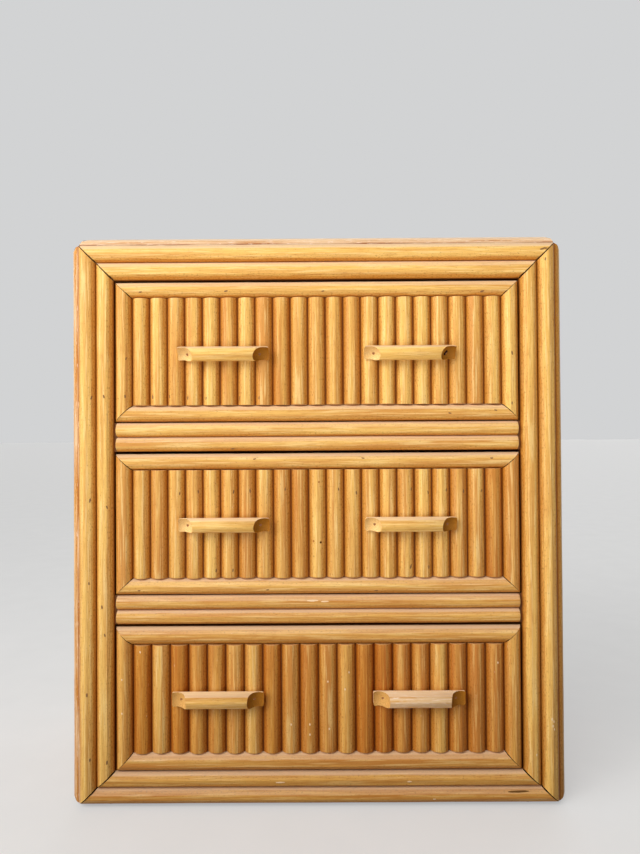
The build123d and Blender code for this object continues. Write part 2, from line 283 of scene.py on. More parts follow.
def split_rattan():
    """Sanded rattan under satin lacquer: pale streaked crests, amber flanks, and dirt and painted shade in
    the grooves.
    """
    material, tree, shader = new_material("split_rattan", IOR=1.5, Specular_IOR_Level=0.16)
    grain = add_node(tree, "ShaderNodeUVMap", {}, uv_map="grain").outputs["UV"]
    patterns = {}
    for name, (along, across) in RATTAN_PATTERNS.items():
        scaled = add_node(
            tree, "ShaderNodeMapping", {"Vector": grain, "Scale": (1 / (along * MM), 1 / (across * MM), 1)}
        )
        patterns[name] = add_node(
            tree, "ShaderNodeTexNoise", {"Vector": scaled.outputs[0], "Scale": 1.0, "Detail": 3.0},
            noise_dimensions="2D",
        ).outputs["Fac"]
    kind = {
        name: add_node(tree, "ShaderNodeAttribute", {}, attribute_name=name).outputs["Fac"]
        for name in ("flank", "tone", "age", "wear")
    }

    # How far from pale to tan: the piece's own tone, moved up and down in broad bands along the grain
    banding = add_node(
        tree, "ShaderNodeMapRange",
        {"Value": patterns["band"], "From Min": 0.38, "From Max": 0.62, "To Min": -0.35, "To Max": 0.35},
    )
    tan = add_node(
        tree, "ShaderNodeMath", {0: kind["tone"], 1: banding.outputs[0]}, operation="ADD", use_clamp=True
    )
    colour = add_node(
        tree, "ShaderNodeMix", {0: tan.outputs[0], 6: linear("#E9B964"), 7: linear("#CE8F46")},
        data_type="RGBA",
    ).outputs[2]

    # The brown of the flank starts at a ragged line, because the knife stops where the fibres let it
    ragged = add_node(
        tree, "ShaderNodeMath", {0: patterns["streak"], 1: 0.75, 2: kind["flank"]}, operation="MULTIPLY_ADD"
    )
    # Flecks gather on the flanks, where less was taken off
    flecked = add_node(
        tree, "ShaderNodeMath", {0: kind["flank"], 1: 0.22, 2: patterns["fleck"]}, operation="MULTIPLY_ADD"
    )
    rubbed = add_node(tree, "ShaderNodeMath", {0: kind["wear"], 1: patterns["streak"]}, operation="MULTIPLY")
    chipped = add_node(
        tree, "ShaderNodeMath", {0: kind["wear"], 1: 0.2, 2: patterns["nick"]}, operation="MULTIPLY_ADD"
    )
    # What faces up is painted paler, as painted light and reflection from above, and more so near the top of
    # the chest, where most light falls
    normal = add_node(tree, "ShaderNodeNewGeometry", {}).outputs["Normal"]
    place = add_node(tree, "ShaderNodeTexCoord", {}).outputs["Object"]
    upward, height = [
        add_node(tree, "ShaderNodeSeparateXYZ", {0: vector}).outputs["Z"] for vector in (normal, place)
    ]
    light_share = add_node(
        tree, "ShaderNodeMapRange",
        {"Value": height, "From Min": 0.05, "From Max": 0.5, "To Min": 0.9, "To Max": 1.2},
    )
    painted_top_light = add_node(tree, "ShaderNodeMath", {0: upward, 1: light_share.outputs[0]}, operation="MULTIPLY")

    steps = (
        (patterns["streak"], 0.5, 0.66, 0.6, "MIX", "#F4D28C"),
        (patterns["fibre"], 0.5, 0.66, 0.36, "MIX", "#C07C30"),
        (ragged.outputs[0], 0.84, 0.93, 0.7, "MIX", "#C47C22"),
        (flecked.outputs[0], 0.68, 0.78, 0.5, "MIX", "#94581A"),
        # Darkest brown at the very edges of each pole: dirt and painted shade in the grooves between them
        (kind["flank"], 0.76, 1.0, 0.9, "MIX", "#904800"),
        # Age darkens towards amber brown; towards the floor it is partly painted shade
        (kind["age"], 0.0, 1.0, 1.0, "MULTIPLY", "#DBB88A"),
        # Painted light: upward faces paler, a painted reflection of the light from above
        (painted_top_light.outputs[0], 0.3, 0.9, 0.65, "MIX", "#F7D9B2"),
        # Wear rubs the finish pale; on the frames of the left side and the top it is also painted light
        (rubbed.outputs[0], 0.25, 0.6, 0.75, "MIX", "#EAC8A0"),
        (chipped.outputs[0], 0.8, 0.86, 0.7, "MIX", "#F2D8BE"),
    )
    tree.links.new(tinted(tree, colour, steps, "SMOOTHSTEP"), shader.inputs["Base Color"])

    satin = add_node(
        tree, "ShaderNodeMapRange",
        {"Value": patterns["fibre"], "From Min": 0.3, "From Max": 0.7, "To Min": 0.34, "To Max": 0.5},
    )
    tree.links.new(satin.outputs[0], shader.inputs["Roughness"])
    relief = add_node(tree, "ShaderNodeMath", {0: patterns["streak"], 1: patterns["fibre"]}, operation="ADD")
    bump = add_node(
        tree, "ShaderNodeBump", {"Height": relief.outputs[0], "Strength": 0.6, "Distance": 0.25 * MM}
    )
    tree.links.new(bump.outputs[0], shader.inputs["Normal"])
    return material


rattan = split_rattan()
print("rattan:", len(rattan.node_tree.nodes), "nodes")

# %% [markdown]
# ## Sawn and gouged rattan
# Where a saw or a gouge goes across the bundle, the cut shows the ends of the fibres: a dull straw face
# dotted with pores, browner where dirt got in. The faces are small, so a cell pattern with one dark dot in
# each cell is enough.

# %% Sawn and gouged rattan
PORE_SPACING = 0.9 * MM
DIRT_PATCH = 5 * MM


def cut_rattan(name, straw, tan, pore):
    """Rattan cut across: a dull face with the dark pores of its fibre bundles."""
    material, tree, shader = new_material(name, IOR=1.5, Roughness=0.65, Specular_IOR_Level=0.15)
    grain = add_node(tree, "ShaderNodeUVMap", {}, uv_map="grain").outputs["UV"]
    cells = add_node(
        tree, "ShaderNodeTexVoronoi", {"Vector": grain, "Scale": 1 / PORE_SPACING}, voronoi_dimensions="2D"
    ).outputs["Distance"]
    patches = add_node(tree, "ShaderNodeTexNoise", {"Vector": grain, "Scale": 1 / DIRT_PATCH, "Detail": 2.0})
    steps = ((patches.outputs["Fac"], 0.0, 1.0, 1.0, "MIX", tan), (cells, 0.35, 0.15, 0.7, "MIX", pore))
    tree.links.new(tinted(tree, linear(straw), steps), shader.inputs["Base Color"])
    bump = add_node(tree, "ShaderNodeBump", {"Height": cells, "Strength": 0.4, "Distance": 0.15 * MM})
    tree.links.new(bump.outputs[0], shader.inputs["Normal"])
    return material


def mottled(name, size, tints, detail, on_grain=False, relief=None, **constants):
    """A finish in patches of two tints. Relief, where given, is the strength and distance of a bump."""
    material, tree, shader = new_material(name, **constants)
    if on_grain:
        place = add_node(tree, "ShaderNodeUVMap", {}, uv_map="grain").outputs["UV"]
    else:
        place = add_node(tree, "ShaderNodeTexCoord", {}).outputs["Object"]
    noise_inputs = {"Vector": place, "Scale": 1 / size, "Detail": detail}
    patches = add_node(tree, "ShaderNodeTexNoise", noise_inputs).outputs["Fac"]
    colour = tinted(tree, linear(tints[0]), [(patches, 0.0, 1.0, 1.0, "MIX", tints[1])])
    tree.links.new(colour, shader.inputs["Base Color"])
    if relief:
        bump_inputs = {"Height": patches, "Strength": relief[0], "Distance": relief[1]}
        tree.links.new(add_node(tree, "ShaderNodeBump", bump_inputs).outputs[0], shader.inputs["Normal"])
    return material


def joint_dirt():
    """Lacquer and dirt dried in a mitre joint: dark brown and dull, so the joint shows as a line."""
    return mottled(
        "joint_dirt", 3 * MM, ("#2A1406", "#4A260C"), detail=2.0, on_grain=True,
        Roughness=0.8, Specular_IOR_Level=0.05,
    )


sawn_end = cut_rattan("sawn_rattan", "#E8B97C", "#C4894A", "#8A5626")
pale_hollow = cut_rattan("gouged_rattan", "#F4CE8E", "#E8B86E", "#C08A44")
# The lower pulls' left hollows are darker: partly their tone, partly painted shade towards the floor
darker_low_hollow = cut_rattan("darker_low_gouged_rattan", "#E6B46A", "#D29A50", "#A8702E")
# The right hollows' dark brown is painted shade: a shaded copy of the gouged rattan
painted_shade_hollow = cut_rattan("gouged_rattan_painted_shade", "#B2741F", "#965A10", "#7A480C")
RATTAN = (rattan, sawn_end, joint_dirt())
print("sawn ends:", len(sawn_end.node_tree.nodes), "nodes")

# %% [markdown]
# ## One split pole
# A pole sawn in half lengthwise is an arc drawn out along its length, so spin makes the arc, one face
# closes it and one extrusion gives it length. The saw takes its kerf, so a pole is a little less than half
# round, and the reeds are flatter still. Cuts across the long edges add rings, because a grown stem is
# never quite straight: the rings are swayed and thinned by noise. And the bark came off with a knife, which
# leaves long flats, so each vertex is drawn in to the chord of the flat it lies on. A pole only ever gets
# thinner, so it never leaves the room that the frame keeps for it. The grain map and the attributes are
# written while the pole still lies along its own axis, where distance along and angle around are easy to
# read.

# %% One split pole
ARC_STEPS = 24
RING_SPACING = 6 * MM
FLAT_STEPS = (4, 5, 5, 6)  # how many steps of the arc one flat may cover
SAWN, JOINT = 1, 2         # the material slots of cut ends
SAWN_FACING = 0.5          # a face that looks along the pole more than this is a sawn end
GRAIN_SHIFT = 9            # metres, so that no two poles show the same stretch of grain
SWAY_WAVES, SLIM_WAVES, FLAT_WAVES = 14, 22, 30     # how fast the noises change, per metre of pole
SLIM_TURNS, FLAT_TURNS = 0.9, 2                     # and per radian round it
FLATNESS, FLATNESS_SPREAD = 0.9, 0.4
HELD_ENDS, HELD_EDGES = 6, 4                        # powers that keep the ends and the edges in place
Nature = namedtuple("Nature", "tone age wear")
Section = namedtuple("Section", "width depth")
draw = random.Random(7)


def arc_of(section):
    """The radius of a section's arc, and the angle from its crest to its edge."""
    radius = (section.width ** 2 / 4 + section.depth ** 2) / (2 * section.depth)
    return radius, math.asin(section.width / 2 / radius)


def split_pole(section, length):
    """A split pole along Y, centred, with its flat on Z zero."""
    radius, reach = arc_of(section)
    bm = bmesh.new()
    start = bm.verts.new((section.width / 2, -length / 2, 0))
    middle = (0, -length / 2, section.depth - radius)
    bmesh.ops.spin(bm, geom=[start], cent=middle, axis=(0, -1, 0), angle=2 * reach, steps=ARC_STEPS)
    loose_ends = [vert for vert in bm.verts if len(vert.link_edges) == 1]
    bm.edges.new(loose_ends)
    bmesh.ops.edgeloop_fill(bm, edges=bm.edges[:])
    grown = bmesh.ops.extrude_face_region(bm, geom=bm.faces[:])["geom"]
    bmesh.ops.translate(bm, verts=[v for v in grown if isinstance(v, bmesh.types.BMVert)], vec=(0, length, 0))
    long_edges = [edge for edge in bm.edges if edge.calc_length() > length * 0.9]
    bmesh.ops.subdivide_edges(bm, edges=long_edges, cuts=round(length / RING_SPACING), use_grid_fill=True)
    bmesh.ops.recalc_face_normals(bm, faces=bm.faces[:])
    return bm


def ease(bm, edges, radius, segments):
    """Rounds edges over with a bevel."""
    bmesh.ops.bevel(
        bm, geom=edges, offset=radius, offset_type="OFFSET", segments=segments, profile=0.5, affect="EDGES",
        material=-1, clamp_overlap=True,
    )


def round_ends(bm, foot_radius, head_radius):
    """Takes the sharp rim off both sawn ends, but leaves the edge of the flat."""
    for way, radius in ((-1, foot_radius), (1, head_radius)):
        rim = [
            edge for edge in bm.edges
            if len(edge.link_faces) == 2 and max(vert.co.z for vert in edge.verts) > 0
            and sum(face.normal.y * way > SAWN_FACING for face in edge.link_faces) == 1
        ]
        ease(bm, rim, radius, segments=3)


def knife_flats():
    """The arc's steps at which one flat ends and the next begins, drawn at random."""
    borders = [0]
    while borders[-1] < ARC_STEPS:
        borders.append(min(borders[-1] + draw.choice(FLAT_STEPS), ARC_STEPS))
    return borders


def drawn_in(angle, reach, borders):
    """How far a point of the arc lies in, as a share of the radius, when the arc is cut into flats."""
    step = (angle / reach + 1) / 2 * ARC_STEPS
    low, high = next((pair for pair in zip(borders, borders[1:]) if step <= pair[1]), borders[-2:])
    half_width = (high - low) * reach / ARC_STEPS
    middle = ((low + high) / ARC_STEPS - 1) * reach
    return 1 - math.cos(half_width) / math.cos(angle - middle)


def add_grain(bm, nature):
    """Adds the grain map and the attributes, fills in what the whole pole shares and draws its shift."""
    grain = bm.loops.layers.uv.new("grain")
    flank = bm.verts.layers.float.new("flank")
    for name, value in nature._asdict().items():
        layer = bm.verts.layers.float.new(name)
        for vert in bm.verts:
            vert[layer] = value
    return grain, flank, draw.uniform(0, GRAIN_SHIFT)


def weather(bm, section, length, nature, sway, thinning, cut_slot=SAWN):
    """Writes the grain map and the attributes, then gives the pole its grown, hand-shaved unevenness."""
    radius, reach = arc_of(section)
    axis_z = section.depth - radius
    grain, flank, shift = add_grain(bm, nature)
    borders = knife_flats()
    for face in bm.faces:
        face.smooth = True
        sawn = abs(face.normal.y) > SAWN_FACING
        face.material_index = cut_slot if sawn else 0
        for loop in face.loops:
            x, y, z = loop.vert.co
            around = math.atan2(x, z - axis_z) * radius
            loop[grain].uv = (x + shift, z) if sawn else (y + shift, around)
    for vert in bm.verts:
        x, y, z = vert.co
        angle = max(min(math.atan2(x, z - axis_z), reach), -reach)
        vert[flank] = abs(angle) / reach
        middling = 1 - abs(2 * y / length) ** HELD_ENDS
        bend = sway * middling * noise.noise((y * SWAY_WAVES + shift, shift, 0))
        slim = thinning * (0.5 + 0.5 * noise.noise((y * SLIM_WAVES, angle * SLIM_TURNS, shift)))
        unevenness = noise.noise((y * FLAT_WAVES, angle * FLAT_TURNS, shift + 5))
        flatness = FLATNESS + FLATNESS_SPREAD * unevenness
        inner = 1 - vert[flank] ** HELD_EDGES
        scale = 1 - inner * (slim + flatness * drawn_in(angle, reach, borders))
        swayed = max(min(x * scale + bend, section.width / 2), -section.width / 2)
        vert.co = (swayed, y, max(axis_z + (z - axis_z) * scale, 0) if z > 0 else z)


def seat(middle, along, out):
    """The matrix that lays a pole on its flat: its length along one direction, its crest towards another."""
    across = along.cross(out)
    return Matrix.Translation(middle) @ Matrix((across, along, out)).transposed().to_4x4()


trial = split_pole(Section(16 * MM, 7.5 * MM), 100 * MM)
print("a trial pole of 100 mm has", len(trial.faces), "faces")
trial.free()

# %% [markdown]
# ## From poles to pieces
# A node of the frame is one piece here too, even where it holds a whole row of reeds. The poles of a row
# are made one at a time and then read into one mesh. The function below also hides the solid that the piece
# stands for, lets it ride on the solid's body and gives it its finishes.

# %% Making a piece
SHARP_EDGE = math.radians(38)
bodies = frame["record"]["behaviour"]["bodies"]
body_of_node = {node: body for body, nodes in bodies.items() for node in nodes}


def make_piece(name, shapes, materials, node, stands_for=True):
    """Joins bmesh shapes into one object that rides with a node of the frame and may stand for it."""
    whole = bmesh.new()
    for shape in shapes:
        part = bpy.data.meshes.new("part")
        shape.to_mesh(part)
        shape.free()
        whole.from_mesh(part)
        bpy.data.meshes.remove(part)
    mesh = bpy.data.meshes.new(name)
    whole.to_mesh(mesh)
    whole.free()
    mesh.set_sharp_from_angle(angle=SHARP_EDGE)
    for material in materials:
        mesh.materials.append(material)
    piece = bpy.data.objects.new(name, mesh)
    scene.collection.objects.link(piece)
    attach(piece, body_of_node[node])
    if stands_for:
        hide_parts(node)
    print(name, len(mesh.polygons), "faces")
    return piece


# %% [markdown]
# ## Faces of the chest
# The front, the sides and the top are built alike: a mitred frame, with reeds or more frames inside it. So
# each is described by three directions, right, up and out, and the box of its nodes gives its size.

# %% Faces of the chest
Face = namedtuple("Face", "middle right up out width height depth")
RIGHT, BACK, UP = Vector((1, 0, 0)), Vector((0, 1, 0)), Vector((0, 0, 1))


def face_of(nodes, right, up):
    """The rectangle that nodes cover on a face of the chest, lying on what carries them."""
    corners = [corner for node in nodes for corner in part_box(node)]
    out = right.cross(up)
    spans = [[corner.dot(axis) for corner in corners] for axis in (right, up, out)]
    middle = right * (min(spans[0]) + max(spans[0])) / 2 + up * (min(spans[1]) + max(spans[1])) / 2
    middle += out * min(spans[2])
    return Face(middle, right, up, out, *[max(span) - min(span) for span in spans])


drawer_face = face_of(["upper_drawer_frame_poles"], RIGHT, UP)
front_size = (drawer_face.width, drawer_face.height)
print("upper drawer's front in mm:", [round(size / MM, 1) for size in front_size])

# %% [markdown]
# ## Mitred frames
# At each corner two poles meet on a slanted saw cut that runs from the outer corner to the inner one. A
# pole is made too long, and bisect_plane takes off each end on that slant, so the two half rounds meet
# along the same curve. The hole it leaves is filled as the sawn face. A hair of play keeps the dark line
# that shows there, finer on the small frames. The line along each pole's axis is kept, because the brads
# are set out on it later.

# %% Mitred frames
CASE_PLAY, FINE_PLAY = 0.7 * MM, 0.3 * MM     # in the mitres of the front, and of every smaller frame
SAW_KERF = 1.0 * MM
POLE_SWAY = 0.16 * MM
POLE_THINNING = 0.025
CASE_TONES, RAIL_TONES = (0.1, 0.5), (0.2, 0.6)


def halved(width):
    """The section of one half of a round pole, less its half of the saw's kerf."""
    return Section(width, (width - SAW_KERF) / 2)


def shave(bm, point, away):
    """Cuts off what lies beyond a plane and closes the cut."""
    everything = bm.verts[:] + bm.edges[:] + bm.faces[:]
    bmesh.ops.bisect_plane(bm, geom=everything, plane_co=point, plane_no=away, clear_outer=True)
    bmesh.ops.holes_fill(bm, edges=[edge for edge in bm.edges if edge.is_boundary], sides=0)


def mitre(bm, outer_side, width, length, other_widths, play):
    """Saws both ends of a pole on the slant between the frame's outer and inner corners."""
    for end, other_width in zip((-1, 1), other_widths):
        outer = Vector((outer_side * width / 2, end * (length / 2 - play), 0))
        inner = Vector((-outer_side * width / 2, end * (length / 2 - other_width - play), 0))
        slant = outer - inner
        away = Vector((-slant.y, slant.x, 0))
        if away.y * end < 0:
            away.negate()
        shave(bm, outer, away)
    bmesh.ops.recalc_face_normals(bm, faces=bm.faces[:])


Line = namedtuple("Line", "start along aside out section")
pole_lines = {}


def mitred_frame(label, face, widths, nature_of, play):
    """Four mitred poles round a face, by side. The widths of the poles are given by side as well."""
    poles = {}
    for side, way in (("left", -1), ("right", 1), ("bottom", -1), ("top", 1)):
        upright = side in ("left", "right")
        along, aside = (face.up, face.right) if upright else (face.right, face.up)
        length, span = (face.height, face.width) if upright else (face.width, face.height)
        ends = (widths["bottom"], widths["top"]) if upright else (widths["left"], widths["right"])
        section = halved(widths[side])
        middle = face.middle + aside * way * (span - section.width) / 2
        pole = split_pole(section, length)
        mitre(pole, way if upright else -way, section.width, length, ends, play)
        weather(pole, section, length, nature_of(side), POLE_SWAY, POLE_THINNING, JOINT)
        bmesh.ops.transform(pole, matrix=seat(middle, along, face.out), verts=pole.verts[:])
        poles[side] = pole
        pole_lines[label, side] = Line(middle - along * length / 2, along, aside, face.out, section)
    return poles


def case_nature(side):
    """Poles of the case: lightly toned, darker towards the floor, as age and painted shade."""
    age = {"top": 0.0, "left": 0.04, "right": 0.2, "bottom": 0.5}[side]
    return Nature(draw.uniform(*CASE_TONES), age, 0.0)


SIDES = ("left", "right", "top", "bottom")
for place in ("outer", "inner"):
    nodes = {side: f"front_{side}_{place}_pole" for side in SIDES}
    sizes = {side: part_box(node)[1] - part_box(node)[0] for side, node in nodes.items()}
    widths = {side: size.x if side in ("left", "right") else size.z for side, size in sizes.items()}
    poles = mitred_frame(place, face_of(nodes.values(), RIGHT, UP), widths, case_nature, CASE_PLAY)
    for side, pole in poles.items():
        make_piece(f"{side}_{place}_front_pole", [pole], RATTAN, nodes[side])

# %% [markdown]
# ## Poles between the drawers
# Each rail between two drawers carries a pair of straight poles that stop short against the uprights. Their
# ends are sawn square and lightly eased.

# %% Poles between the drawers
RAIL_END_ROUNDING = 0.8 * MM
RAIL_END_GAP = 1.2 * MM
# The lower rail is darker, as age and painted shade towards the floor
rails = {"upper_rail": ("upper_divider_rail", 0.05), "lower_rail": ("lower_divider_rail", 0.35)}
rail_low, rail_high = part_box("divider_poles")
rail_length = rail_high.x - rail_low.x - 2 * RAIL_END_GAP
rail_poles = []
for label, (rail, age) in rails.items():
    low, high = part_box(rail)
    section = halved((high.z - low.z) / 2)
    for row, way in (("lower", -1), ("upper", 1)):
        pole = split_pole(section, rail_length)
        round_ends(pole, RAIL_END_ROUNDING, RAIL_END_ROUNDING)
        nature = Nature(draw.uniform(*RAIL_TONES), age, 0.0)
        weather(pole, section, rail_length, nature, POLE_SWAY, POLE_THINNING)
        middle = Vector((0, low.y, (low.z + high.z) / 2 + way * section.width / 2))
        bmesh.ops.transform(pole, matrix=seat(middle, RIGHT, -BACK), verts=pole.verts[:])
        rail_poles.append(pole)
        pole_lines[label, row] = Line(middle - RIGHT * rail_length / 2, RIGHT, UP, -BACK, section)
make_piece("rail_poles", rail_poles, RATTAN, "divider_poles")

# %% [markdown]
# ## Rows of reeds
# Reeds are short split poles set side by side. No two are alike in width or tone, which is what makes such
# a front look hand made, so each is drawn a little narrower than its place, swayed within the slack that
# this leaves, and given its own tone. Their feet are rounded over, and their heads are sawn square.

# %% Rows of reeds
FOOT_ROUNDING = 1.4 * MM
HEAD_ROUNDING = 0.3 * MM
REED_GAP = 0.2 * MM
REED_END_GAP = 0.3 * MM
REED_SLACK = 0.25 * MM
REED_THINNING = 0.025
REED_SWAY_SHARE = 0.4         # of its slack
TONE_SPREAD, AGE_SPREAD = 0.25, 0.26
FRAME_AGE = 0.6               # a frame's age as a share of its reeds' age


def reed_row(label, face, count, nature_of):
    """Upright reeds side by side over a face."""
    pitch = (face.width + REED_GAP) / count
    reeds = []
    for number in range(count):
        slack = draw.uniform(0, REED_SLACK)
        section = Section(pitch - REED_GAP - slack, face.depth)
        reed = split_pole(section, face.height)
        round_ends(reed, FOOT_ROUNDING, HEAD_ROUNDING)
        weather(reed, section, face.height, nature_of(), slack * REED_SWAY_SHARE, REED_THINNING)
        middle = face.middle + face.right * ((number + 0.5) * pitch - (face.width + REED_GAP) / 2)
        bmesh.ops.transform(reed, matrix=seat(middle, face.up, face.out), verts=reed.verts[:])
        reeds.append(reed)
        pole_lines[label, number] = Line(
            middle - face.up * face.height / 2, face.up, face.right, face.out, section
        )
    return reeds


def dress_face(label, right, up, count, nature, edge_wear_and_light=0.0):
    """The mitred frame of a face, rubbed more than the reeds inside it, as two pieces; that extra wear is
    partly painted light.
    """
    frame_node, reed_node = f"{label}_frame_poles", f"{label}_reeds"
    outer, field = face_of([frame_node], right, up), face_of([reed_node], right, up)
    upright_width = (outer.width - field.width - REED_GAP) / 2
    level_width = (outer.height - field.height - 2 * REED_END_GAP) / 2

    def vary(side=None):
        tone = min(max(draw.gauss(nature.tone, TONE_SPREAD), 0), 1)
        age = min(max(draw.gauss(nature.age, AGE_SPREAD), 0), 1)
        if side:
            return Nature(tone, age * FRAME_AGE, nature.wear + edge_wear_and_light)
        return Nature(tone, age, nature.wear)

    widths = {"left": upright_width, "right": upright_width, "top": level_width, "bottom": level_width}
    poles = mitred_frame(label, outer, widths, vary, FINE_PLAY)
    make_piece(f"{label}_mitred_frame", poles.values(), RATTAN, frame_node)
    make_piece(f"{label}_reed_row", reed_row(label, field, count, vary), RATTAN, reed_node)


drawer_reeds = {"upper": 21, "middle": 21, "lower": 20}
# Darker towards the floor, the lower drawer most: partly age and tone, partly painted shade
drawer_natures = {
    "upper": Nature(0.38, 0.12, 0.0), "middle": Nature(0.45, 0.16, 0.0), "lower": Nature(0.5, 0.55, 0.1),
}
for place, count in drawer_reeds.items():
    dress_face(f"{place}_drawer", RIGHT, UP, count, drawer_natures[place])

# %% [markdown]
# ## Sides and top
# The photograph shows only the front edge of the sides and the top: the pole that frames each of them. They
# are finished in the same way as the front, with reeds inside that frame. Their frames are the edges of the
# chest, rubbed pale by hands and dust cloths, and painted paler still on the left and the top as painted
# light, least on the right.

# %% Sides and top
SIDE_REEDS = 11
# Paler frames on the left and the top, least on the right: partly wear, partly painted light
LEFT_WEAR_AND_LIGHT, RIGHT_WEAR_AND_LIGHT, TOP_WEAR_AND_LIGHT = 0.75, 0.15, 0.95
side_nature = Nature(0.42, 0.2, 0.0)
dress_face("left_side", -BACK, UP, SIDE_REEDS, side_nature, LEFT_WEAR_AND_LIGHT)
dress_face("right_side", BACK, UP, SIDE_REEDS, side_nature, RIGHT_WEAR_AND_LIGHT)
dress_face("top", BACK, -RIGHT, SIDE_REEDS, side_nature, TOP_WEAR_AND_LIGHT)

# %% [markdown]
# ## Scooped pulls
# A pull is a round rod, planed flat at the back, with a hollow gouged out of each end where a nail holds
# it. The gouge came in from below, so the hollow is a piece of an egg shape set low. It leaves a horn along
# the top of each end, longest on the upper drawer, because no two pulls were gouged alike. The right
# hollows are painted dark brown, as painted shade. A cone operator makes the rod, planes shave its back,
# its flats and its corners, and a Boolean modifier takes out the hollows and the nail seats together.

# %% Scooped pulls
Hollow = namedtuple("Hollow", "height drop floor")     # half its height, how low it is set, and the wood left
HOLLOWS = {
    "upper": Hollow(9.2 * MM, 3.6 * MM, 1.3 * MM),
    "middle": Hollow(10.5 * MM, 2.5 * MM, 2.0 * MM),
    "lower": Hollow(14 * MM, 1.5 * MM, 2.4 * MM),
}
HOLLOW_HALF_LENGTH = 9.5 * MM
HOLLOW_DEPTH = 10 * MM
HOLLOW_INSET = 4.5 * MM
LEFT_HOLLOW, RIGHT_HOLLOW = 1, 2       # their material slots
CORNER_RADIUS = 3 * MM
CORNER_PLANES = 5
ROD_SEGMENTS = 44
HOLLOW_SEGMENTS = 64
SEAT_SEGMENTS = 16
# Flats along the rod: degrees from its front towards its top, and the millimetres that the plane takes off.
# The lower pulls are the most worn, and flat on top.
ROD_FLATS = ((68, 0.55), (14, 0.3), (-38, 0.35))
WORN_FLATS = ((76, 1.5), (22, 0.35), (-30, 0.5))
PULL_ROUNDING = 0.3 * MM
SEAT_RADIUS = 0.8 * MM
SEAT_INSET = 8.7 * MM
SEAT_FLOOR = 2.4 * MM
MERGE_DISTANCE = 0.01 * MM
EGG_EDGE = 1.01               # a hair more than the radius of the ball that an egg shape is made from


def shaved_rod(length, diameter, depth, flats):
    """A rod along X with its flat back on Z zero, flats along it and rounded corners."""
    bm = bmesh.new()
    axis = Vector((0, 0, depth - diameter / 2))
    along_x = Matrix.Translation(axis) @ Matrix.Rotation(math.pi / 2, 4, "Y")
    bmesh.ops.create_cone(
        bm, cap_ends=True, segments=ROD_SEGMENTS, radius1=diameter / 2, radius2=diameter / 2, depth=length,
        matrix=along_x,
    )
    shave(bm, Vector((0, 0, 0)), Vector((0, 0, -1)))
    for turn, taken in flats:
        away = Vector((0, math.sin(math.radians(turn)), math.cos(math.radians(turn))))
        shave(bm, axis + away * (diameter / 2 - taken * MM), away)
    corner_x, corner_y = length / 2 - CORNER_RADIUS, diameter / 2 - CORNER_RADIUS
    for end in (-1, 1):
        for side in (-1, 1):
            for number in range(CORNER_PLANES):
                angle = (number + 0.5) * math.pi / 2 / CORNER_PLANES
                away = Vector((end * math.cos(angle), side * math.sin(angle), 0))
                shave(bm, Vector((end * corner_x, side * corner_y, 0)) + away * CORNER_RADIUS, away)
    bmesh.ops.remove_doubles(bm, verts=bm.verts[:], dist=MERGE_DISTANCE)
    bmesh.ops.recalc_face_normals(bm, faces=bm.faces[:])
    return bm


def egg_shape(end, length, hollow):
    """The matrix that makes a ball of radius one into the hollow at one end of a rod."""
    middle = Vector((end * (length / 2 - HOLLOW_INSET), -hollow.drop, hollow.floor + HOLLOW_DEPTH))
    return Matrix.Translation(middle) @ Matrix.Diagonal((HOLLOW_HALF_LENGTH, hollow.height, HOLLOW_DEPTH, 1))


def gouge(bm, length, hollow):
    """Takes the two hollows and the two nail seats out of a rod with a Boolean modifier."""
    cutter = bmesh.new()
    for end in (-1, 1):
        bmesh.ops.create_uvsphere(
            cutter, u_segments=HOLLOW_SEGMENTS, v_segments=HOLLOW_SEGMENTS // 2, radius=1,
            matrix=egg_shape(end, length, hollow),
        )
        seat_middle = Vector((end * (length / 2 - SEAT_INSET), 0, SEAT_FLOOR + length / 4))
        bmesh.ops.create_cone(
            cutter, cap_ends=True, segments=SEAT_SEGMENTS, radius1=SEAT_RADIUS, radius2=SEAT_RADIUS,
            depth=length / 2, matrix=Matrix.Translation(seat_middle),
        )
    shapes = []
    for name, shape in (("rod", bm), ("cutter", cutter)):
        mesh = bpy.data.meshes.new(name)
        shape.to_mesh(mesh)
        shape.free()
        shapes.append(bpy.data.objects.new(name, mesh))
        scene.collection.objects.link(shapes[-1])
    gouging = shapes[0].modifiers.new("gouge", "BOOLEAN")
    gouging.object = shapes[1]
    gouging.use_self = True
    gouged = bmesh.new()
    gouged.from_object(shapes[0], bpy.context.evaluated_depsgraph_get())
    for shape in shapes:
        bpy.data.meshes.remove(shape.data)
    return gouged


def ease_and_map(bm, length, diameter, depth, nature, hollow):
    """Eases the edges, gives the hollows their slots and writes the grain map and the attributes."""
    sharp = [edge for edge in bm.edges if len(edge.link_faces) == 2 and edge.calc_face_angle() > SHARP_EDGE]
    ease(bm, sharp, PULL_ROUNDING, segments=2)
    grain, flank, shift = add_grain(bm, nature)
    rod_height = depth - diameter / 2
    from_egg = {end: egg_shape(end, length, hollow).inverted() for end in (-1, 1)}
    for face in bm.faces:
        face.smooth = True
        middle = face.calc_center_median()
        end = 1 if middle.x > 0 else -1
        if (from_egg[end] @ middle).length < EGG_EDGE:
            face.material_index = RIGHT_HOLLOW if end > 0 else LEFT_HOLLOW
        for loop in face.loops:
            x, y, z = loop.vert.co
            loop[grain].uv = (x + shift, math.atan2(y, z - rod_height) * diameter / 2)
    for vert in bm.verts:
        vert[flank] = 0.0


def rod_place(node):
    """A pull's length, depth and diameter, and the matrix that lays its rod on the reeds."""
    low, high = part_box(node)
    back = Vector(((low.x + high.x) / 2, high.y, (low.z + high.z) / 2))
    return high - low, Matrix.Translation(back) @ Matrix((RIGHT, UP, -BACK)).transposed().to_4x4()


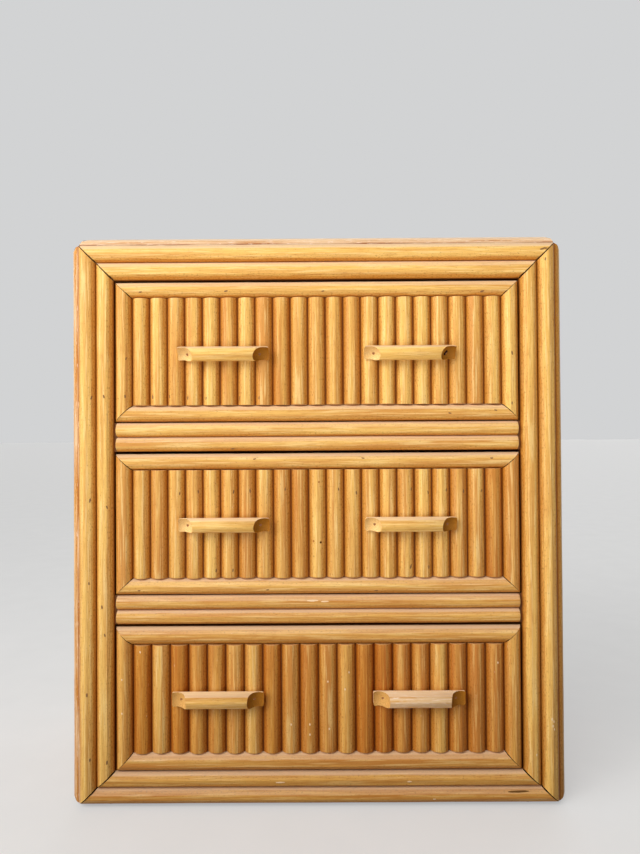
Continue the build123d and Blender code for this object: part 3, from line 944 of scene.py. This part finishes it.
pull_natures = {
    "upper": (Nature(0.05, 0.0, 0.0), Nature(0.0, 0.0, 0.0)),
    "middle": (Nature(0.3, 0.05, 0.0), Nature(0.2, 0.05, 0.0)),
    "lower": (Nature(0.35, 0.3, 0.5), Nature(0.7, 0.15, 1.0)),
}
for place, natures in pull_natures.items():
    for side, nature in zip(("left", "right"), natures):
        node = f"{place}_drawer_{side}_pull"
        (length, depth, diameter), laid = rod_place(node)
        flats = WORN_FLATS if place == "lower" else ROD_FLATS
        rod = gouge(shaved_rod(length, diameter, depth, flats), length, HOLLOWS[place])
        ease_and_map(rod, length, diameter, depth, nature, HOLLOWS[place])
        bmesh.ops.transform(rod, matrix=laid, verts=rod.verts[:])
        finishes = (rattan, darker_low_hollow if place == "lower" else pale_hollow, painted_shade_hollow)
        make_piece(f"{place}_{side}_scooped_pull", [rod], finishes, node)

# %% [markdown]
# ## Brads
# Small headless nails pin every reed and pole to the plywood. What shows is a short dark dash along the
# grain, where the brad was punched in. Each is a flattened bead, half sunk in the crest, so it shows from
# any side.

# %% Tarnished steel
RUST_SIZE = 0.8 * MM


def tarnished_steel(name, *tints):
    """Mild steel wire gone dull and brown with age, so a head shows as a dark dot and doesn't glint."""
    return mottled(name, RUST_SIZE, tints, detail=3.0, relief=(0.5, 0.05 * MM), Metallic=0.2, Roughness=0.65)


brad_steel = tarnished_steel("tarnished_brad", "#6A4420", "#A07242")
nail_steel = tarnished_steel("tarnished_nail", "#7E4820", "#A86C38")
print("steel:", len(nail_steel.node_tree.nodes), "nodes")

# %% Brads
BRAD_LENGTH = 4.2 * MM
BRAD_WIDTH = 1.6 * MM
BRAD_HEIGHT = 0.7 * MM
BRAD_SINK = 0.25 * MM
BRAD_SLANT = 0.3              # radians, either way
BRAD_SIZES = (0.75, 1.1)      # shares of the usual size


def bead(line, distance, angle, length, width, slant):
    """A flat bead let into a pole, so far along its line, at an angle from its crest, turned by a slant."""
    radius = arc_of(line.section)[0]
    way_out = line.out * math.cos(angle) + line.aside * math.sin(angle)
    crest = line.start + line.along * distance + line.out * (line.section.depth - radius)
    bm = bmesh.new()
    bmesh.ops.create_icosphere(bm, subdivisions=1, radius=0.5)
    for face in bm.faces:
        face.smooth = True
    flat = Matrix.Diagonal((width, length, BRAD_HEIGHT, 1))
    slanted = Matrix.Rotation(slant, 4, "Z")
    place = seat(crest + way_out * (radius - BRAD_SINK), line.along, way_out)
    bmesh.ops.transform(bm, matrix=place @ slanted @ flat, verts=bm.verts[:])
    return bm


def brads_on(marks):
    """Brads at listed places: for each pole, millimetres along its line and radians from its crest."""
    beads = []
    for pole, places in marks.items():
        for distance, angle in places:
            size, slant = draw.uniform(*BRAD_SIZES), draw.uniform(-BRAD_SLANT, BRAD_SLANT)
            line = pole_lines[pole]
            beads.append(bead(line, distance * MM, angle, BRAD_LENGTH * size, BRAD_WIDTH * size, slant))
    return beads


case_marks = {
    ("outer", "left"): [(41.5, 0.46), (99.5, 0.13), (198.5, 0.39), (272.5, 0.53), (364.5, 0.7)],
    ("outer", "right"): [(486.5, -0.27)],
    ("outer", "top"): [(418, 0.06), (421, 0.16)],
    ("inner", "left"): [(25, 0.35), (138, 0.15), (163, -0.18), (252, 0.42), (351, 0.1)],
    ("upper_rail", "lower"): [(105, -0.75)],
}
drawer_marks = {
    "upper": {
        "left": [(56.9, 0.5), (22.9, 0.36)], "right": [(59.9, 0.07), (14.9, 0.01)],
        "top": [(24.1, -0.34), (101.1, -0.29), (188.1, -0.37), (331.1, -0.52)],
        "bottom": [(301.1, -0.12), (342.1, 0.22)],
    },
    "middle": {
        "top": [(126.1, 0.34), (223.1, 0.38), (338.1, 0.28)],
        "bottom": [(22.1, -0.39), (137.1, -0.36), (234.1, -0.58)],
    },
}
# Reeds that show a brad near their foot or head, counted from the left, and the angle at which it shows
reed_foot_marks = {"upper": ((1, 2, 3, 4, 6, 7, 9), -0.7), "middle": ((4, 5, 15, 16), 0.5)}
reed_head_marks = {"upper": ((), 0), "middle": ((2, 3, 5, 6, 8, 11, 12, 15, 16, 17, 18, 19), 0.5)}
FOOT_HEIGHT, HEAD_DROP = 8, 19     # millimetres from the ends of a reed
HEIGHT_SPREAD, ANGLE_SPREAD = 2, 0.15

brads = make_piece("case_front_brads", brads_on(case_marks), [brad_steel], "left_stile", stands_for=False)
for place, sides in drawer_marks.items():
    label = f"{place}_drawer"
    marks = {(label, side): places for side, places in sides.items()}
    reed_height = face_of([f"{label}_reeds"], RIGHT, UP).height / MM
    for (numbers, angle), height in (
        (reed_foot_marks[place], FOOT_HEIGHT), (reed_head_marks[place], reed_height - HEAD_DROP)
    ):
        for number in numbers:
            up = height + draw.uniform(-HEIGHT_SPREAD, HEIGHT_SPREAD)
            spot = (up, angle + draw.uniform(-ANGLE_SPREAD, ANGLE_SPREAD))
            marks.setdefault((label, number), []).append(spot)
    brads = make_piece(f"{label}_brads", brads_on(marks), [brad_steel], f"{label}_front", stands_for=False)

# %% [markdown]
# ## Knots, chips and a dark nail hole
# Where a leaf grew, the stem keeps a small knot, darker and harder than the rest. Three show on the middle
# drawer. Knocks have chipped the lower half of the front down to pale wood, and the lowest pole has a gash,
# dark inside. All these are flat beads as well. Round one nail the hollow of its pull shows as a dark hole,
# which is painted shade: two shallow black caps of a ball stand out of the hollow there.

# %% Knots, chips and a gash
FIBRE_PATCH = 0.7 * MM
CHIP_LENGTH, CHIP_WIDTH = 2.4, 1.5     # millimetres
MARK_SLANT = 0.03


def dull_rattan(name, *tints):
    """Rattan without its lacquer, dirty or bare: dull, and mottled at the size of the fibres."""
    return mottled(name, FIBRE_PATCH, tints, detail=2.0, Roughness=0.75, Specular_IOR_Level=0.1)


def mark(name, marks, finish, node):
    """Flat beads on poles as one piece, with a finish of their own."""
    beads = [
        bead(pole_lines[pole], distance * MM, angle, length * MM, width * MM, MARK_SLANT)
        for pole, distance, angle, length, width in marks
    ]
    piece = make_piece(name, beads, [finish], node, stands_for=False)


# Each mark: its pole, millimetres along it, radians from its crest, and length and width in millimetres
knotted, lowest, low_inner = ("middle_drawer", 10), ("outer", "bottom"), ("inner", "bottom")
low_rail, right_outer = ("lower_rail", "upper"), ("outer", "right")
dark_knots = [(knotted, 32, 0.36, 2.6, 2.2)]
faint_knots = [(knotted, 33, -0.5, 2.4, 2.0), (knotted, 86, 0.18, 2.2, 1.8)]
gashes = [(lowest, 393, 0.62, 22, 1.9)]
case_chips = [
    (lowest, 318, -0.25, 3.5, 1.2), (low_inner, 165, -0.1, 9.3, 1.3), (low_inner, 280, -0.08, 4.5, 1.4),
    (("inner", "right"), 30, 0.27, 3, 1.2), (low_rail, 176, 0.33, 12, 2), (low_rail, 187, 0.2, 9, 1.4),
    (right_outer, 76, 0.0, 3.4, 1.5), (right_outer, 74, 0.2, 3, 1.2), (right_outer, 70, 0.1, 3.2, 1.6),
    (right_outer, 67, 0.25, 2.4, 1.2),
]
# Chips on the lower drawer by reed, counted from the left, or by side of its frame
chip_spots = {
    0: [(91, -0.08)], 8: [(26, 0.05)], 9: [(26, 0.05), (17, 0.05)], 10: [(64, 0.0), (22, 0.13)],
    11: [(72, 0.27), (57, -0.16)], 19: [(80, 0.19)], "left": [(83, -0.1), (53, -0.1)],
}
drawer_chips = [
    (("lower_drawer", pole), *spot, CHIP_LENGTH, CHIP_WIDTH)
    for pole, spots in chip_spots.items() for spot in spots
]
bare_rattan = dull_rattan("chipped_rattan", "#E6C08C", "#F6DFBC")
mark("reed_knot", dark_knots, dull_rattan("knot_bark", "#4A2408", "#6E3C14"), "middle_drawer_front")
mark("faint_reed_knots", faint_knots, dull_rattan("pale_knot", "#A8642C", "#C08244"), "middle_drawer_front")
# The gash is a flat dark brown mark
mark("bottom_pole_gash", gashes, dull_rattan("dark_gash_mark", "#5A3A18", "#80592C"), "front_bottom_outer_pole")
mark("case_chips", case_chips, bare_rattan, "left_stile")
mark("lower_drawer_chips", drawer_chips, bare_rattan, "lower_drawer_front")

# %% Painted shade round a nail
CAP_RADIUS = 2.5 * MM
CAP_RISE = 0.5 * MM
HOLE_SHADE_OFFSETS = ((0.6 * MM, 0.9 * MM), (-0.9 * MM, -1.1 * MM))     # from the nail, across and up

size, laid = rod_place("upper_drawer_right_pull")
egg = egg_shape(1, size.x, HOLLOWS["upper"])
hole_caps = bmesh.new()
for across, up in HOLE_SHADE_OFFSETS:
    unit = egg.inverted() @ Vector((size.x / 2 - SEAT_INSET + across, up, 0))
    unit.z = -math.sqrt(1 - unit.x ** 2 - unit.y ** 2)
    inward = -(egg.inverted().to_3x3().transposed() @ unit).normalized()
    middle = egg @ unit - inward * (CAP_RADIUS - CAP_RISE)
    bmesh.ops.create_icosphere(
        hole_caps, subdivisions=3, radius=CAP_RADIUS, matrix=laid @ Matrix.Translation(middle)
    )
# Black, as the painted shade of a dark hole round the nail
black_hole_shade = dull_rattan("black_hole_shade", "#1C0A04", "#3A1A08")
hole_caps = make_piece("nail_hole_shade", [hole_caps], [black_hole_shade], "upper_drawer_right_pull", stands_for=False)

# %% [markdown]
# ## Plywood
# The case and the drawer boxes are tropical plywood, sealed: a tan veneer with long open pores, and thin
# crossed layers that show on the edges. The layers are bands through the thickness, which a face lies
# within, so the same pattern shows stripes on an edge and none on a face. Boards behind the front's poles
# and reeds are painted dark brown as painted shade, so the gaps between them show as brown lines.

# %% Plywood
PLY_THICKNESS = 1.7 * MM
AXES = {"x": 0, "y": 1, "z": 2}
# Length along the grain and width across it in millimetres, then the noise's detail and distortion
PLY_PATTERNS = {"figure": (260, 18, 3.0, 0.6), "pores": (14, 0.7, 2.0, 0.0)}


def plywood(name, grain_axis, thickness_axis, pale, dark):
    """Sealed plywood: long pores along the grain, and its layers showing on the edges."""
    material, tree, shader = new_material(name, IOR=1.5, Roughness=0.6, Specular_IOR_Level=0.2)
    place = add_node(tree, "ShaderNodeTexCoord", {}).outputs["Object"]
    patterns = {}
    for pattern, (along, across, detail, distortion) in PLY_PATTERNS.items():
        scale = [1 / (across * MM)] * 3
        scale[AXES[grain_axis]] = 1 / (along * MM)
        scaled = add_node(tree, "ShaderNodeMapping", {"Vector": place, "Scale": scale}).outputs[0]
        noise_inputs = {"Vector": scaled, "Scale": 1.0, "Detail": detail, "Distortion": distortion}
        patterns[pattern] = add_node(tree, "ShaderNodeTexNoise", noise_inputs).outputs["Fac"]
    # Blender's wave repeats every pi / 10 at a scale of one, and one wave is a pale and a dark layer
    layers = add_node(
        tree, "ShaderNodeTexWave", {"Vector": place, "Scale": math.pi / 10 / (2 * PLY_THICKNESS)},
        bands_direction=thickness_axis.upper(),
    )
    steps = (
        (patterns["figure"], 0.35, 0.7, 0.8, "MIX", dark),
        (patterns["pores"], 0.55, 0.72, 0.5, "MIX", "#5E3A1C"),
        (layers.outputs["Fac"], 0.45, 0.6, 0.35, "MIX", "#7D5330"),
    )
    tree.links.new(tinted(tree, linear(pale), steps), shader.inputs["Base Color"])
    bump = add_node(
        tree, "ShaderNodeBump", {"Height": patterns["pores"], "Strength": 0.35, "Distance": 0.15 * MM}
    )
    tree.links.new(bump.outputs[0], shader.inputs["Normal"])
    return material


def finish_nodes(nodes, material):
    """Gives solids of the frame their material."""
    for node in nodes:
        mesh = frame["nodes"][node].data
        mesh.materials.clear()
        mesh.materials.append(material)


PANEL_TINTS = ("#D9AE7C", "#B98552")
BOX_TINTS = ("#E0BC8E", "#C39663")
# Dark brown as painted shade, showing in the gaps between the front's poles and reeds
FRONT_SHADE_TINTS = ("#7A4A20", "#552F12")
drawers = [f"{place}_drawer" for place in drawer_reeds]
front_rails = ["top_rail", "bottom_rail", "upper_divider_rail", "lower_divider_rail"]
box_sides = [f"{drawer}_{side}_side" for drawer in drawers for side in ("left", "right")]
# Each board's grain axis, thickness axis, tints and nodes
boards = {
    "plywood_side_panel": ("z", "x", PANEL_TINTS, ["left_side_panel", "right_side_panel"]),
    "plywood_level_panel": ("x", "z", PANEL_TINTS, ["top_panel", "bottom_panel"]),
    "plywood_back_panel": ("z", "y", PANEL_TINTS, ["back_panel"]),
    "plywood_stile": ("z", "y", FRONT_SHADE_TINTS, ["left_stile", "right_stile"]),
    "plywood_rail": ("x", "y", FRONT_SHADE_TINTS, front_rails + [f"{drawer}_front" for drawer in drawers]),
    "plywood_drawer_side": ("y", "x", BOX_TINTS, box_sides),
    "plywood_drawer_back": ("x", "y", BOX_TINTS, [f"{drawer}_back" for drawer in drawers]),
    "plywood_drawer_bottom": ("x", "z", BOX_TINTS, [f"{drawer}_bottom" for drawer in drawers]),
}
for name, (grain_axis, thickness_axis, tints, nodes) in boards.items():
    finish_nodes(nodes, plywood(name, grain_axis, thickness_axis, *tints))
print("plywood on", sum(len(board[-1]) for board in boards.values()), "solids")

# %% [markdown]
# ## Runners, nails and glides
# The drawers slide on planed hardwood strips. Their pores and growth bands look much like plywood's pores
# and layers, so the same function makes them. Four dull nails hold the pulls of each drawer, and four
# moulded plastic glides keep the bottom edge off the floor.

# %% Runners, nails and glides
runner_wood = plywood("planed_runner_wood", "y", "x", "#DDBB88", "#C79C62")
# Moulded plastic, scuffed by floors: grey brown with paler scratches, and a soft, broad shine
glide_plastic = mottled(
    "moulded_glide_plastic", 1.5 * MM, ("#4A4039", "#7A6C60"), detail=4.0, relief=(0.3, 0.1 * MM),
    IOR=1.5, Roughness=0.5,
)
finish_nodes(["drawer_runners", "drawer_guides", "top_kickers"], runner_wood)
finish_nodes([f"{drawer}_pull_nails" for drawer in drawers], nail_steel)
finish_nodes(["glides"], glide_plastic)
print("runners, nails and glides finished")

low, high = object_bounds()
print("visual box in mm:", [round(size / MM, 1) for size in high - low])
